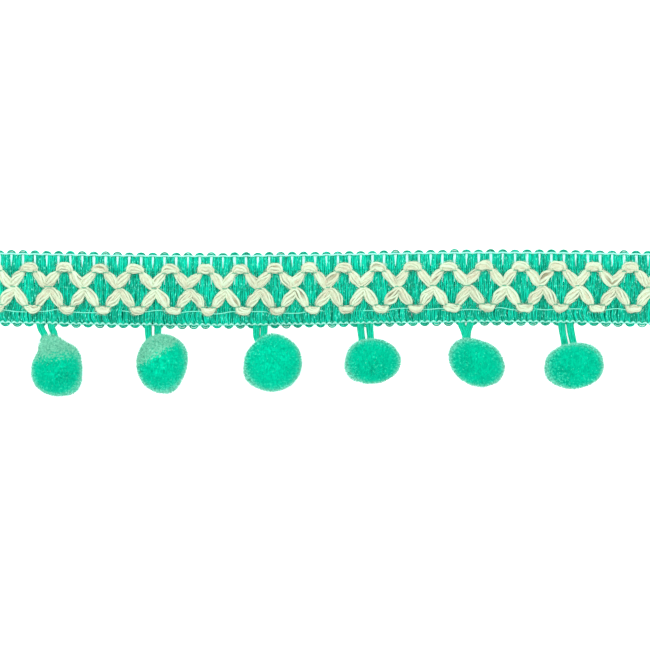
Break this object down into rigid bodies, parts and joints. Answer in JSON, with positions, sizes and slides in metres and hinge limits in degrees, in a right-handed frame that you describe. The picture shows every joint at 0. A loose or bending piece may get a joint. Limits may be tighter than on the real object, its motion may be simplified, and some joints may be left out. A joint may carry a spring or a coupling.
{
  "type": "pompom fringe trim",
  "caption": "Cut length of woven viscose braid with zigzag cream yarns on its face and cut-pile pompoms hanging on cord loops from its lower edge, lying flat.",
  "frame": {"origin": "middle of the braid's flat back, halfway along the cut length, on the surface the trim lies on", "axes": "+X along the trim, +Y across it from the pompoms to the upper edge, +Z out of its face"},
  "size_m": [0.1682, 0.037, 0.0118],
  "materials": {
    "viscose_weft": "shiny viscose strands",
    "cream_wool_yarn": "matt, loosely plied and slightly fuzzy",
    "pale_chain_thread": "smooth thin thread",
    "viscose_cord": "soft silky cord",
    "cut_pile": "matt dense cut pile"
  },
  "bodies": {
    "root": {"ground_braid": "viscose_weft", "cream_yarn_upper": "cream_wool_yarn", "cream_yarn_lower": "cream_wool_yarn", "edge_thread_upper": "pale_chain_thread", "edge_thread_lower": "pale_chain_thread", "hanging_loop_1": "viscose_cord", "hanging_loop_2": "viscose_cord", "hanging_loop_3": "viscose_cord", "hanging_loop_4": "viscose_cord", "hanging_loop_5": "viscose_cord", "hanging_loop_6": "viscose_cord", "pompom_1": "cut_pile", "pompom_2": "cut_pile", "pompom_3": "cut_pile", "pompom_4": "cut_pile", "pompom_5": "cut_pile", "pompom_6": "cut_pile"}
  },
  "joints": []
}
